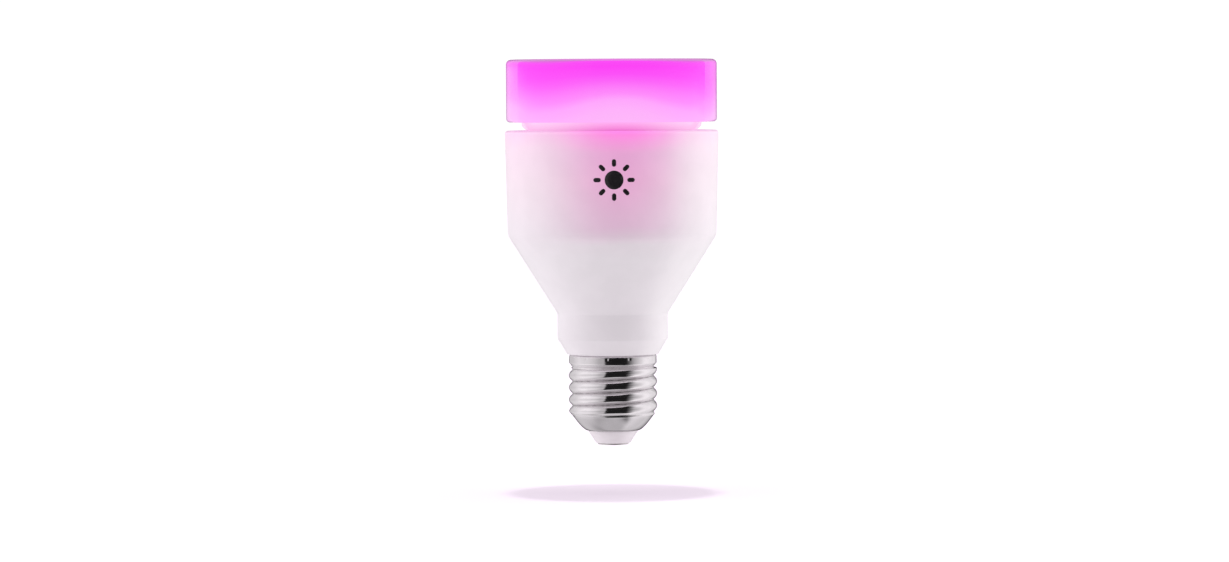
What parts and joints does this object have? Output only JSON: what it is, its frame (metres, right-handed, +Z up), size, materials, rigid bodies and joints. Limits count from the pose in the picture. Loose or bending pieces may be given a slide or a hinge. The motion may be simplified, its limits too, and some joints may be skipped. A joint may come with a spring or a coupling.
{
  "type": "smart light bulb",
  "caption": "Round flat-topped smart bulb: lit frosted head on a reveal gap, white barrel and cone body, E27 screw cap.",
  "frame": {"origin": "centre of the end contact's flat face, on the bulb's axis, where the lamp holder's spring contact presses", "axes": "+Z runs up the bulb's axis from the screw cap to the flat lit top; -Y is the front"},
  "size_m": [0.0638, 0.0638, 0.1152],
  "materials": {
    "lit_diffuser": "frosted and lit from inside",
    "lit_neck": "frosted, glowing with the head's light",
    "white_housing": "matt white moulding with a fine grain",
    "nickel_plate": "bright nickel plate on rolled sheet",
    "cap_insulator_white": "smooth off-white",
    "cast_aluminium": "bare, satin",
    "sleeve_plastic": "natural white",
    "thermal_pad_grey": "soft grey gap filler",
    "white_board": "aluminium-cored board with white solder mask",
    "green_board": "glass-fibre board with green solder mask",
    "led_phosphor": "yellow phosphor",
    "led_clear_dome": "clear dome",
    "zinc_steel": "zinc or tin plated",
    "ferrite": "dark grey, matt",
    "winding_tape": "yellow tape over a winding",
    "capacitor_sleeve": "dark blue shrink sleeve",
    "film_capacitor_yellow": "moulded box",
    "moulded_black": "moulded epoxy",
    "resistor_coat": "fireproof coat",
    "varistor_coat": "dipped blue coat",
    "enamelled_copper": "enamelled copper",
    "connector_nylon": "natural nylon",
    "red_wire": "flexible insulation",
    "black_wire": "flexible insulation"
  },
  "bodies": {
    "root": {"diffuser_cap": "lit_diffuser", "diffuser_ring": "lit_neck", "body_shell": "white_housing", "heat_sink": "cast_aluminium", "driver_sleeve": "sleeve_plastic", "thermal_pad": "thermal_pad_grey", "led_board": "white_board", "led_white_1": "led_phosphor", "led_white_2": "led_phosphor", "led_white_3": "led_phosphor", "led_white_4": "led_phosphor", "led_white_5": "led_phosphor", "led_white_6": "led_phosphor", "led_white_7": "led_phosphor", "led_white_8": "led_phosphor", "led_colour_1": "led_clear_dome", "led_colour_2": "led_clear_dome", "led_colour_3": "led_clear_dome", "led_colour_4": "led_clear_dome", "led_colour_5": "led_clear_dome", "led_colour_6": "led_clear_dome", "led_colour_7": "led_clear_dome", "led_colour_8": "led_clear_dome", "board_screw_1": "zinc_steel", "board_screw_2": "zinc_steel", "board_screw_3": "zinc_steel", "led_connector": "connector_nylon", "led_wire_positive": "red_wire", "led_wire_negative": "black_wire", "driver_board": "green_board", "transformer_core": "ferrite", "transformer_winding": "winding_tape", "bulk_capacitor": "capacitor_sleeve", "output_capacitor": "capacitor_sleeve", "input_choke": "enamelled_copper", "output_inductor": "enamelled_copper", "film_capacitor": "film_capacitor_yellow", "bridge_rectifier": "moulded_black", "driver_chip": "moulded_black", "power_transistor": "moulded_black", "varistor": "varistor_coat", "fuse_resistor": "resistor_coat", "fuse_lead": "zinc_steel", "radio_board": "green_board", "radio_shield": "zinc_steel", "board_header": "moulded_black", "radio_antenna": "enamelled_copper", "screw_shell": "nickel_plate", "cap_insulator": "cap_insulator_white", "centre_contact": "nickel_plate", "live_lead": "black_wire", "neutral_lead": "red_wire"}
  },
  "joints": []
}
